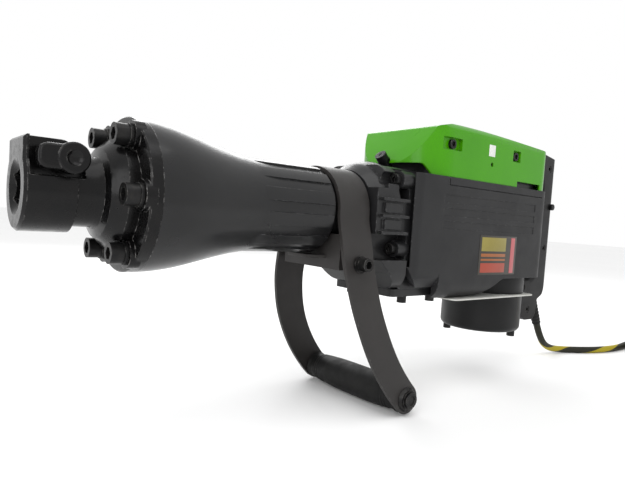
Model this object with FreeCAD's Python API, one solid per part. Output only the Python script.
import FreeCAD, Part
import os
from math import acos, cos, hypot, pi, radians, sin, sqrt, tan

# Electric demolition hammer, lying on its side handle.
# Everything is drawn in the machine's own frame: x runs back from the nose face along the
# barrel, y to the machine's right-hand side, z up from the barrel's axis. finish() then moves
# each piece so that the origin is on the floor, under the middle of the machine.

# ---------- overall sizes ----------
OVERALL_LENGTH = 704.0          # nose face to the back of the rear handle
SIDE_GRIP_DROP = 182.0          # barrel axis to the side grip's axis
SIDE_GRIP_R = 17.0
AXIS_HEIGHT = SIDE_GRIP_DROP + SIDE_GRIP_R

# ---------- clearances ----------
RUN_FIT = 0.05                  # radial, shaft in its bore
SEAT_GAP = 0.05                 # radial, screw or pressed piece in its hole
FREE_GAP = 0.4                  # between pieces that move past each other
AIR_GAP = 1.0                   # round anything that only has to clear

# ---------- nose cap and tool retainer ----------
HEX_AF = 30.0                   # across flats of the tool's shank
LEAD_IN_R = 19.5
LEAD_IN_DEPTH = 5.0
BLOCK_LENGTH = 34.0
BLOCK_R = 30.5
BLOCK_TOP = 35.0
BLOCK_TOP_WIDTH = 48.0
NOSE_NECK_R = 26.0
NOSE_NECK_END = 53.0
HUB_R = 43.0
HUB_FRONT = 64.0
FLANGE_R = 60.0
FLANGE_FRONT = 73.5
FLANGE_THICK = 9.5
CAP_LENGTH = FLANGE_FRONT + FLANGE_THICK
BOLT_CIRCLE_R = 50.0
BOLT_ANGLES = [30, 90, 150, 210, 270, 330]
M10_R, M10_HEAD_R, M10_HEAD = 5.0, 8.0, 10.0
WASHER = 2.5
LOBE_R = 11.5
LOBE_HEIGHT = 3.7
M10_REACH = 18.0                # thread in the barrel's flange
NOTCH_WALL_Y = -14.0            # lever notch on the near upper side of the block
NOTCH_FLOOR_Z = 8.5
NOTCH_FRONT = 3.5
PIN_X, PIN_Z, PIN_R = 28.5, 21.5, 9.0
PIN_FLAT = 6.0                  # pin axis to its relieving flat
LEVER_BOSS_R = 10.8
LEVER_INNER_Y, LEVER_OUTER_Y = -27.5, -39.0
LEVER_REACH = 22.0
LEVER_HALF_HEIGHT = 8.5

# ---------- barrel ----------
BORE_R = 26.0
SLEEVE_WALL = 4.0
SLEEVE_R = BORE_R + SLEEVE_WALL
SLEEVE_FRONT = 100.0
BARREL_END = 262.5
BARREL_NECK_R = 40.4
BARREL_NECK_START = 210.0
BARREL_WALL = 6.0
FLUTE_COUNT = 12
FLUTE_RISE = 1.7
FLUTE_WIDTH = 12.0
NECK_R = 33.5                   # collar that the side handle turns on

# ---------- hammer mechanism on the barrel's axis ----------
ANVIL_R = 17.0
ANVIL_FRONT = 76.0
ANVIL_COLLAR_R = BORE_R - 4
ANVIL_COLLAR = 22.0
ANVIL_TAIL_R = 14.0
ANVIL_TAIL = 18.0
STRIKER_NOSE = 160.0
STRIKER_BODY = 190.0
STRIKER_LENGTH = 45.0
STRIKER_NOSE_R = 14.0
PISTON_FRONT = 250.0
PISTON_LENGTH = 56.0
PISTON_WALL = 6.0
WRIST_PIN_R = 7.0
ROD_LENGTH = 152.0
ROD_EYE_R = 15.0
ROD_HALF_HEIGHT = 8.0
CRANK_THROW = 13.0
CRANK_PIN_R = 8.0
CRANK_WEB_R = 28.0
CRANK_WEB = 12.0
CRANK_SHAFT_R = 12.0

# ---------- gear train: motor pinion, idler, crank gear ----------
FIRST_MODULE, PINION_TEETH, IDLER_TEETH = 1.25, 12, 76
SECOND_MODULE, IDLER_PINION_TEETH, CRANK_TEETH = 2.0, 14, 48
GEAR_LOW_Z, GEAR_LOW_FACE = 60.0, 14.0
GEAR_HIGH_Z, GEAR_HIGH_FACE = 78.0, 10.0
CRANK_X = PISTON_FRONT + PISTON_LENGTH * 0.6 + ROD_LENGTH + CRANK_THROW
IDLER_X = CRANK_X + SECOND_MODULE * (IDLER_PINION_TEETH + CRANK_TEETH) / 2
MOTOR_X = IDLER_X + FIRST_MODULE * (PINION_TEETH + IDLER_TEETH) / 2
IDLER_SHAFT_R = 8.0
BEARING_WALL = 9.0              # ball bearing, bore to outside radius

# ---------- crank case ----------
HOUSING_HALF_WIDTH = 60.0
MOTOR_R = 49.0                  # outside of the motor tube
MOTOR_SKIRT_R = MOTOR_R + 3
CASE_FRONT = 305.0
CASE_BACK = MOTOR_X - MOTOR_SKIRT_R - 23.6
CASE_HALF_WIDTH = HOUSING_HALF_WIDTH - 10
CASE_TOP, CASE_STEP, CASE_BOTTOM = 50.0, -46.0, -76.0
CASE_WALL = 9.0
BELLY_HALF_WIDTH = CASE_HALF_WIDTH - 5
CHIN_HALF_WIDTH, CHIN_R = HOUSING_HALF_WIDTH - 4, 20.0
ROOF_R = 24.0                   # rounding of the roof under the cover
ROOF_FRONT = 319.0
SHOULDER_R, SHOULDER_END, SHOULDER_START_R = 55.5, 334.0, 44.0
RIB_LEVELS = [15.0, -1.5, -18.0]
RIB_BACK = 347.0
BOTTOM_PLATE = 8.0
BOTTOM_PLATE_FRONT, BOTTOM_PLATE_BACK = 340.0, 424.0
M6_R, M6_HEAD_R, M6_HEAD = 3.0, 5.0, 7.0
OIL_PLUG_R = 6.5
BOSS_SCREW_R, BOSS_SCREW_HEAD_R, BOSS_SCREW_HEAD = 4.0, 5.5, 6.0
# height, distance out, radius
FRONT_BOSSES = [(36.0, CASE_HALF_WIDTH - 5, 9.0), (-34.0, CASE_HALF_WIDTH - 6, 8.5)]
BOSS_SEAT = 337.0

# ---------- motor and gear housings ----------
HOUSING_FRONT, HOUSING_BACK = 347.0, MOTOR_X + MOTOR_R + 2.4
HOUSING_TOP, HOUSING_BOTTOM = 45.0, -88.0
HOUSING_TAIL_BOTTOM = -66.0     # rear part of the shells' lower edge
SHELL_WALL = 4.0
SHELL_STEP_X = 395.0
SHELL_FRONT_R, SHELL_BACK_R, SHELL_BASE_R = 15.0, 26.0, 20.0
GEAR_CASE_FLOOR, GEAR_CASE_DECK, GEAR_CASE_RIM = 26.0, 58.0, 90.0
GEAR_CASE_LID = 2.5
GEAR_CASE_HALF_WIDTH = HOUSING_HALF_WIDTH - 8
GEAR_CASE_WALL = 1.6
GEAR_CASE_FRONT = CRANK_X - SECOND_MODULE * (CRANK_TEETH + 2) / 2 - GEAR_CASE_WALL - 4
GEAR_CASE_BACK = HOUSING_BACK - 25
STATOR_R, STATOR_BORE = 45.0, 27.4
STATOR_LOW, STATOR_HIGH = -74.0, -22.0
ROTOR_R = 27.0
TAIL_R, TAIL_BOTTOM, TAIL_WALL = MOTOR_R + 2, -138.0, 3.5
ARMATURE_SHAFT_R = 6.0
COMMUTATOR_R = 14.0
COMMUTATOR_LOW, COMMUTATOR_HIGH = -112.0, -88.0
FAN_R, FAN_LOW, FAN_HIGH = 42.0, -6.0, 12.0

# ---------- top cover ----------
COVER_TOP = 104.0
COVER_SHEET = 2.0
COVER_HALF_WIDTH = HOUSING_HALF_WIDTH - 1
COVER_FRONT = GEAR_CASE_FRONT - 31
COVER_FRONT_EDGE = 57.0         # height of its lower edge at the front
COVER_FRONT_R = 45.0            # its front corners in plan
COVER_LEAN = 22.0               # how far the front slopes back on its way up
COVER_BACK_R = 26.0
COVER_SETBACK = 5.0             # its back stays inside the shells' back
COVER_EDGE_R = 13.0

# ---------- rear handle ----------
GRIP_BACK = OVERALL_LENGTH
GRIP_DEPTH = 35.0
GRIP_FRONT = GRIP_BACK - GRIP_DEPTH
HANDLE_HALF_WIDTH = 17.0
HANDLE_EDGE_R = 6.0
HANDLE_HOLE_FRONT, HANDLE_HOLE_LOW, HANDLE_HOLE_HIGH = HOUSING_BACK + 10, -76.0, 72.0
TRIGGER_PIVOT_Z = 58.0
TRIGGER_LENGTH = 50.0
TRIGGER_HALF_WIDTH = 9.0
TRIGGER_PIVOT_R = 2.5
BUTTON_R, BUTTON_Z = 4.5, 30.0

# ---------- side handle ----------
STRAP_FRONT = 263.5
STRAP_WIDTH = 38.0
STRAP_X = STRAP_FRONT + STRAP_WIDTH / 2
STRAP_THICK = 4.0
STRAP_TOP_R = 43.5              # outside of the bend over the collar
LINER_R = STRAP_TOP_R - STRAP_THICK
STRAP_LEAN_R = 195.0            # radius of the arms' rearward lean
STRAP_LEAN_START = -42.0
STRAP_END_R = 15.0
SIDE_GRIP_X = STRAP_X + STRAP_LEAN_R - sqrt(STRAP_LEAN_R ** 2
                                            - (SIDE_GRIP_DROP + STRAP_LEAN_START) ** 2)
ARM_SPREAD = [(-20.0, 47.5), (-50.0, 54.8), (-70.0, 60.2), (-90.0, 64.1),
              (-110.0, 67.6), (-130.0, 69.9), (-155.0, 72.0), (-200.0, 74.0)]
ARM_END_Y = 73.2                # outside of the arms at the grip's axis
GRIP_ROD_R = 5.0
CLAMP_Z = -48.7
M8_R, M8_HEAD_R, M8_HEAD = 4.0, 6.5, 8.0

# ---------- cord ----------
CORD_R = 5.0
FLOOR_Z = -AXIS_HEIGHT
CORD_REST_Z = FLOOR_Z + CORD_R + 0.2
GUARD_TOP = (688.0, 0.0, -96.0)
GUARD_TIP = (716.0, 0.0, -145.0)
GUARD_TOP_R, GUARD_TIP_R = 8.0, 6.2
CORD_ROUTE = [GUARD_TIP, (731.0, 0.0, -171.0), (760.0, 2.0, -188.0), (795.0, 0.0, CORD_REST_Z),
              (828.0, -19.0, CORD_REST_Z), (868.0, -35.0, CORD_REST_Z),
              (915.0, -41.0, CORD_REST_Z), (962.0, -35.5, CORD_REST_Z)]
COIL_CENTRE = (982.0, -108.0)
COIL_MEAN_R = 55.0
COIL_LAYERS, COIL_ROWS = 2, 3
PLUG_R, PLUG_LENGTH = 18.0, 34.0
PLUG_NECK = 26.0
PLUG_PIN_R, PLUG_PIN_LENGTH, PLUG_PIN_SPACING = 2.4, 19.0, 19.0

V = FreeCAD.Vector
X, Y, Z = V(1, 0, 0), V(0, 1, 0), V(0, 0, 1)
TO_ROW = V(-OVERALL_LENGTH / 2, 0, AXIS_HEIGHT)


# ---------- drawing helpers ----------
def box(x0, x1, y0, y1, z0, z1):
    return Part.makeBox(x1 - x0, y1 - y0, z1 - z0, V(x0, y0, z0))


def rod(radius, start, end):
    """Plain cylinder between two points."""
    run = end - start
    return Part.makeCylinder(radius, run.Length, start, run)


def tube(outer, inner, start, end):
    run = (end - start).normalize()
    return rod(outer, start, end).cut(rod(inner, start - run, end + run))


def cone(start_r, end_r, start, end):
    run = end - start
    return Part.makeCone(start_r, end_r, run.Length, start, run)


def fused(shapes):
    shapes = list(shapes)
    return shapes[0].multiFuse(shapes[1:]).removeSplitter() if len(shapes) > 1 else shapes[0]


def cut_all(body, tools):
    tools = list(tools)
    return body.cut(tools) if tools else body


def turned(profile):
    """Solid turned about the barrel's axis from (x, radius) pairs."""
    points = [V(x, 0, r) for x, r in profile]
    face = Part.Face(Part.makePolygon(points + [points[0]]))
    return face.revolve(V(0, 0, 0), X, 360)


def in_plane(plane, a, b, level):
    return {"xy": V(a, b, level), "xz": V(a, level, b), "yz": V(level, a, b)}[plane]


def outline(points, radii, plane, level):
    """Closed wire through flat points, each corner rounded to its own radius."""
    count = len(points)
    if not isinstance(radii, (list, tuple)):
        radii = [radii] * count
    arcs = []
    for i, (px, py) in enumerate(points):
        ax, ay = points[i - 1][0] - px, points[i - 1][1] - py
        bx, by = points[(i + 1) % count][0] - px, points[(i + 1) % count][1] - py
        la, lb = hypot(ax, ay), hypot(bx, by)
        ax, ay, bx, by = ax / la, ay / la, bx / lb, by / lb
        half = acos(max(-1.0, min(1.0, ax * bx + ay * by))) / 2
        r = radii[i]
        if r <= 0:
            arcs.append([(px, py)])
            continue
        reach = r / tan(half)
        mx, my = ax + bx, ay + by
        m = hypot(mx, my)
        far = r / sin(half) - r
        arcs.append([(px + ax * reach, py + ay * reach),
                     (px + mx / m * far, py + my / m * far),
                     (px + bx * reach, py + by * reach)])
    edges = []
    for i, arc in enumerate(arcs):
        spots = [in_plane(plane, a, b, level) for a, b in arc]
        if len(spots) == 3:
            edges.append(Part.Arc(*spots).toShape())
        start = spots[-1]
        end = in_plane(plane, *arcs[(i + 1) % count][0], level)
        if (end - start).Length > 1e-6:
            edges.append(Part.LineSegment(start, end).toShape())
    return Part.Wire(edges)


def prism(points, plane, low, high, radii=0):
    """Straight solid of an outline, between two levels along the plane's normal."""
    normal = {"xy": Z, "xz": Y, "yz": X}[plane]
    return Part.Face(outline(points, radii, plane, low)).extrude(normal * (high - low))


def rectangle(a0, a1, b0, b1):
    return [(a0, b0), (a1, b0), (a1, b1), (a0, b1)]


def hexagon(across_flats, start, along, length, turn=0.0):
    """Hexagonal bar; turn rotates it about its own axis, in degrees."""
    corner = across_flats / sqrt(3)
    side = Z if abs(along.dot(Z)) < 0.5 else X
    other = along.cross(side)
    spots = []
    for i in range(6):
        angle = radians(60 * i + 30 + turn)
        spots.append(start + side * (corner * cos(angle)) + other * (corner * sin(angle)))
    return Part.Face(Part.makePolygon(spots + [spots[0]])).extrude(along * length)


def cap_screw(seat, into, shank_r, head_r, head, reach):
    """Socket-head screw: seat is under the head, into points along the shank."""
    top = seat - into * head
    body = rod(head_r, top, seat).fuse(rod(shank_r, seat, seat + into * reach))
    return body.cut(hexagon(head_r * 1.1, top, into, head * 0.6))


def mirrored(shape):
    """The same piece on the other side of the machine."""
    return shape.mirror(V(0, 0, 0), Y)


def finish(name, shape):
    """Write one sub-part in the row's frame: origin on the floor under the middle."""
    placed = shape.copy()
    placed.translate(TO_ROW)
    placed.exportStep("parts/" + name + ".step")
    solids = len(placed.Solids)
    print("%-22s %2d solids  %10.0f mm3  valid %s" % (name, solids, placed.Volume, placed.isValid()))


def on_bolt_circle(x, angle):
    """Point on the nose bolt circle; the angle is from straight up."""
    return V(x, BOLT_CIRCLE_R * sin(radians(angle)), BOLT_CIRCLE_R * cos(radians(angle)))


# ---------- nose ----------
SCREW_SEAT = FLANGE_FRONT - LOBE_HEIGHT


def nose_cap():
    block = rod(BLOCK_R, V(0, 0, 0), V(BLOCK_LENGTH, 0, 0)).fuse(
        box(0, BLOCK_LENGTH, -BLOCK_TOP_WIDTH / 2, BLOCK_TOP_WIDTH / 2, 0, BLOCK_TOP))
    block = block.removeSplitter()
    block = block.makeChamfer(2.0, [e for e in block.Edges if e.BoundBox.XMax < 0.01])
    crown_rear = [e for e in block.Edges if e.BoundBox.XMin > BLOCK_LENGTH - 0.01
                  and e.BoundBox.ZMax > BLOCK_TOP - 0.1 and e.BoundBox.ZMin > BLOCK_TOP - 0.1]
    block = block.makeFillet(8.0, crown_rear)
    body = block.fuse(turned([(BLOCK_LENGTH - 10, 0), (BLOCK_LENGTH - 10, NOSE_NECK_R),
                              (NOSE_NECK_END - 4, NOSE_NECK_R), (NOSE_NECK_END, NOSE_NECK_R + 1.5),
                              (NOSE_NECK_END + 2, NOSE_NECK_R + 8), (HUB_FRONT, HUB_R - 1),
                              (HUB_FRONT + 1, HUB_R), (FLANGE_FRONT, HUB_R),
                              (FLANGE_FRONT, FLANGE_R - 1), (FLANGE_FRONT + 1, FLANGE_R),
                              (CAP_LENGTH, FLANGE_R), (CAP_LENGTH, 0)]))
    for angle in BOLT_ANGLES:
        body = body.fuse(rod(LOBE_R, on_bolt_circle(SCREW_SEAT, angle),
                             on_bolt_circle(FLANGE_FRONT + 5, angle)))
    tools = [hexagon(HEX_AF, V(-1, 0, 0), X, ANVIL_FRONT - 4, 30),
             cone(LEAD_IN_R, HEX_AF / 2 - 1, V(0, 0, 0), V(LEAD_IN_DEPTH, 0, 0)),
             rod(ANVIL_R + FREE_GAP, V(ANVIL_FRONT - 6, 0, 0), V(CAP_LENGTH + 1, 0, 0)),
             box(NOTCH_FRONT, PIN_X + LEVER_BOSS_R + AIR_GAP, -BLOCK_R - 5, NOTCH_WALL_Y,
                 NOTCH_FLOOR_Z, BLOCK_TOP + 5),
             rod(PIN_R + RUN_FIT, V(PIN_X, NOTCH_WALL_Y - 1, PIN_Z),
                 V(PIN_X, BLOCK_TOP_WIDTH / 2 + 1, PIN_Z))]
    for angle in BOLT_ANGLES:
        tools.append(rod(M10_HEAD_R + 1.5, on_bolt_circle(NOSE_NECK_END, angle),
                         on_bolt_circle(SCREW_SEAT, angle)))
        tools.append(rod(M10_R + SEAT_GAP, on_bolt_circle(SCREW_SEAT - 1, angle),
                         on_bolt_circle(CAP_LENGTH + 1, angle)))
    return cut_all(body, tools).removeSplitter()


def nose_washers():
    return Part.makeCompound([tube(M10_HEAD_R + 0.8, M10_R + SEAT_GAP,
                                   on_bolt_circle(SCREW_SEAT - WASHER, angle),
                                   on_bolt_circle(SCREW_SEAT, angle)) for angle in BOLT_ANGLES])


def nose_screws():
    seat = SCREW_SEAT - WASHER
    reach = CAP_LENGTH + M10_REACH - seat
    return Part.makeCompound([cap_screw(on_bolt_circle(seat, angle), X, M10_R, M10_HEAD_R,
                                        M10_HEAD, reach) for angle in BOLT_ANGLES])


def retainer_lever():
    pin = rod(PIN_R, V(PIN_X, LEVER_INNER_Y, PIN_Z), V(PIN_X, BLOCK_TOP_WIDTH / 2 - 1, PIN_Z))
    flat = box(PIN_X - PIN_R - 1, PIN_X + PIN_R + 1, NOTCH_WALL_Y + 1, HEX_AF / 2 + 3,
               PIN_Z + PIN_FLAT, PIN_Z + PIN_R + 1)
    boss = rod(LEVER_BOSS_R, V(PIN_X, LEVER_OUTER_Y, PIN_Z), V(PIN_X, LEVER_INNER_Y, PIN_Z))
    boss = boss.makeFillet(2.0, [e for e in boss.Edges if e.BoundBox.YMax < LEVER_OUTER_Y + 0.01])
    arm = prism(rectangle(PIN_X - LEVER_REACH, PIN_X, PIN_Z - LEVER_HALF_HEIGHT,
                          PIN_Z + LEVER_HALF_HEIGHT), "xz", LEVER_OUTER_Y + 1, LEVER_INNER_Y,
                [6, 0, 0, 6])
    arm = arm.makeFillet(2.5, [e for e in arm.Edges if e.BoundBox.YMax < LEVER_OUTER_Y + 1.01
                               and e.BoundBox.XMin < PIN_X - 6])
    dimple = Part.makeSphere(7.0, V(PIN_X, LEVER_OUTER_Y - 4.5, PIN_Z))
    return fused([pin.cut(flat), boss, arm]).cut(dimple)


# ---------- barrel ----------
def barrel_profile(x):
    """Outside radius of the bell: a smooth S from the flange to the neck."""
    pull_x = [CAP_LENGTH, CAP_LENGTH + 43, BARREL_NECK_START - 55, BARREL_NECK_START]
    pull_r = [FLANGE_R, FLANGE_R, BARREL_NECK_R, BARREL_NECK_R]
    low, high = 0.0, 1.0
    for _ in range(40):
        t = (low + high) / 2
        weights = [(1 - t) ** 3, 3 * t * (1 - t) ** 2, 3 * t * t * (1 - t), t ** 3]
        if sum(w * p for w, p in zip(weights, pull_x)) < x:
            low = t
        else:
            high = t
    return sum(w * r for w, r in zip(weights, pull_r))


def bell(start, end, shrink):
    """Turned bell between two stations, its radius reduced by shrink."""
    curve_end = min(end, BARREL_NECK_START)
    count = 8
    spots = []
    for i in range(count + 1):
        x = start + (curve_end - start) * i / count
        spots.append(V(x, 0, barrel_profile(x) - shrink))
    curve = Part.BSplineCurve()
    curve.interpolate(spots)
    edges = [curve.toShape()]
    corners = [spots[-1]]
    if end > curve_end:
        corners.append(V(end, 0, BARREL_NECK_R - shrink))
    corners += [V(end, 0, 0), V(start, 0, 0), spots[0]]
    for a, b in zip(corners, corners[1:]):
        edges.append(Part.LineSegment(a, b).toShape())
    return Part.Face(Part.Wire(edges)).revolve(V(0, 0, 0), X, 360)


def barrel_cover():
    body = bell(CAP_LENGTH, BARREL_END, 0)
    body = body.makeFillet(3.0, [e for e in body.Edges if e.BoundBox.XMin > BARREL_END - 0.01
                                 and e.BoundBox.ZMax > BARREL_NECK_R - 1])
    flutes = []
    for i in range(FLUTE_COUNT):
        flute = box(CAP_LENGTH + 60, BARREL_END - 4, -FLUTE_WIDTH / 2, FLUTE_WIDTH / 2,
                    SLEEVE_R + 2, BARREL_NECK_R + FLUTE_RISE)
        flute.rotate(V(0, 0, 0), X, 360 / FLUTE_COUNT * (i + 0.5))
        flutes.append(flute)
    limit = rod(BARREL_NECK_R + FLUTE_RISE, V(CAP_LENGTH, 0, 0), V(BARREL_END - 4, 0, 0))
    body = body.fuse([flute.common(limit) for flute in flutes])
    hollow_end = CAP_LENGTH + M10_REACH + 60
    bell_hollow = bell(CAP_LENGTH + M10_REACH + 2, hollow_end, BARREL_WALL)
    tools = [rod(SLEEVE_R + SEAT_GAP, V(CAP_LENGTH - 1, 0, 0), V(BARREL_END + 1, 0, 0)), bell_hollow]
    for angle in BOLT_ANGLES:
        tools.append(rod(M10_R + SEAT_GAP, on_bolt_circle(CAP_LENGTH - 1, angle),
                         on_bolt_circle(CAP_LENGTH + M10_REACH + 1, angle)))
    return cut_all(body, tools)


def anvil_guide():
    return tube(SLEEVE_R, ANVIL_R + RUN_FIT, V(CAP_LENGTH, 0, 0), V(SLEEVE_FRONT, 0, 0))


def cylinder_sleeve():
    return tube(SLEEVE_R, BORE_R, V(SLEEVE_FRONT, 0, 0), V(CASE_FRONT + 30, 0, 0))


def anvil():
    collar = SLEEVE_FRONT + FREE_GAP
    tail = collar + ANVIL_COLLAR
    return fused([rod(ANVIL_R, V(ANVIL_FRONT, 0, 0), V(collar, 0, 0)),
                  rod(ANVIL_COLLAR_R, V(collar, 0, 0), V(tail, 0, 0)),
                  rod(ANVIL_TAIL_R, V(tail, 0, 0), V(tail + ANVIL_TAIL, 0, 0))])


def striker():
    back = STRIKER_BODY + STRIKER_LENGTH
    body = rod(BORE_R - RUN_FIT, V(STRIKER_BODY, 0, 0), V(back, 0, 0))
    groove = tube(BORE_R + 1, BORE_R - 3, V(back - 14, 0, 0), V(back - 10, 0, 0))
    return fused([rod(STRIKER_NOSE_R, V(STRIKER_NOSE, 0, 0), V(STRIKER_BODY, 0, 0)),
                  body.cut(groove)])


WRIST_X = PISTON_FRONT + PISTON_LENGTH * 0.6
ROD_EYE_X = WRIST_X + ROD_LENGTH


def piston():
    back = PISTON_FRONT + PISTON_LENGTH
    cup = rod(BORE_R - RUN_FIT, V(PISTON_FRONT, 0, 0), V(back, 0, 0))
    hollow = rod(BORE_R - PISTON_WALL, V(PISTON_FRONT + 12, 0, 0), V(back + 1, 0, 0))
    bore = rod(WRIST_PIN_R + SEAT_GAP, V(WRIST_X, 0, -BORE_R - 1), V(WRIST_X, 0, BORE_R + 1))
    return cut_all(cup, [hollow, bore])


def wrist_pin():
    reach = BORE_R - 3
    return rod(WRIST_PIN_R, V(WRIST_X, 0, -reach), V(WRIST_X, 0, reach))


def connecting_rod():
    high = V(0, 0, ROD_HALF_HEIGHT)
    eye = V(ROD_EYE_X, 0, 0)
    small = V(WRIST_X, 0, 0)
    shank = box(WRIST_X, ROD_EYE_X, -7, 7, -ROD_HALF_HEIGHT + 2, ROD_HALF_HEIGHT - 2)
    body = fused([rod(ROD_EYE_R, eye - high, eye + high),
                  rod(WRIST_PIN_R + 5, small - high, small + high), shank])
    return cut_all(body, [rod(CRANK_PIN_R + RUN_FIT, eye - high * 2, eye + high * 2),
                          rod(WRIST_PIN_R + RUN_FIT, small - high * 2, small + high * 2)])


# ---------- gears ----------
def spur(module, teeth, x, z, face, bore, phase, web=None):
    """Straight-cut gear with relieved flanks; phase turns it, in tooth pitches."""
    pitch_r = module * teeth / 2
    root, tip = pitch_r - 1.2 * module, pitch_r + 0.8 * module
    half_root, half_tip = 0.27 * pi * module, 0.10 * pi * module
    spots = []
    for i in range(teeth):
        for radius, half in ((root, -half_root), (tip, -half_tip), (tip, half_tip), (root, half_root)):
            angle = 2 * pi * (i + phase) / teeth + half / radius
            spots.append(V(x + radius * cos(angle), radius * sin(angle), z))
    gear = Part.Face(Part.makePolygon(spots + [spots[0]])).extrude(Z * face)
    gear = gear.cut(rod(bore, V(x, 0, z - 1), V(x, 0, z + face + 1)))
    if web:
        for low, high in ((z - 1, z + face * 0.3), (z + face * 0.7, z + face + 1)):
            gear = gear.cut(tube(root - 4, bore + 8, V(x, 0, low), V(x, 0, high)))
    return gear


def idler_gear():
    return spur(FIRST_MODULE, IDLER_TEETH, IDLER_X, GEAR_HIGH_Z, GEAR_HIGH_FACE,
                IDLER_SHAFT_R, 0.5, web=True)


def idler_shaft():
    low = GEAR_CASE_FLOOR + 8
    neck = GEAR_HIGH_Z + GEAR_HIGH_FACE
    shaft = rod(IDLER_SHAFT_R, V(IDLER_X, 0, low), V(IDLER_X, 0, neck))
    pinion = spur(SECOND_MODULE, IDLER_PINION_TEETH, IDLER_X, GEAR_LOW_Z, GEAR_LOW_FACE,
                  IDLER_SHAFT_R - 1, 0)
    return fused([shaft, pinion])


def crank_gear():
    return spur(SECOND_MODULE, CRANK_TEETH, CRANK_X, GEAR_LOW_Z, GEAR_LOW_FACE,
                CRANK_SHAFT_R, 0.5, web=True)


def crankshaft():
    web_low = ROD_HALF_HEIGHT + 4
    pin_x = CRANK_X - CRANK_THROW
    return fused([rod(CRANK_WEB_R, V(CRANK_X, 0, web_low), V(CRANK_X, 0, web_low + CRANK_WEB)),
                  rod(CRANK_SHAFT_R, V(CRANK_X, 0, web_low), V(CRANK_X, 0, GEAR_LOW_Z + GEAR_LOW_FACE)),
                  rod(CRANK_PIN_R, V(pin_x, 0, ROD_HALF_HEIGHT + 0.5), V(pin_x, 0, web_low + 1))])


BEARING_STATIONS = [(CRANK_X, CRANK_SHAFT_R, GEAR_CASE_FLOOR + 4, 12.0),
                    (CRANK_X, CRANK_SHAFT_R, GEAR_CASE_DECK - 12, 10.0),
                    (IDLER_X, IDLER_SHAFT_R, GEAR_CASE_FLOOR + 8, 10.0),
                    (IDLER_X, IDLER_SHAFT_R, GEAR_CASE_DECK - 12, 10.0),
                    (MOTOR_X, ARMATURE_SHAFT_R, GEAR_CASE_DECK - 12, 10.0),
                    (MOTOR_X, ARMATURE_SHAFT_R, TAIL_BOTTOM + TAIL_WALL + 2, 9.0)]


def ball_bearings():
    """Bearings of the crank, idler and motor shafts, drawn as plain rings."""
    return Part.makeCompound([tube(r + BEARING_WALL, r + RUN_FIT, V(x, 0, z), V(x, 0, z + thick))
                              for x, r, z, thick in BEARING_STATIONS])


def bearing_seats():
    return [rod(r + BEARING_WALL + SEAT_GAP, V(x, 0, z), V(x, 0, z + thick))
            for x, r, z, thick in BEARING_STATIONS]


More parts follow.
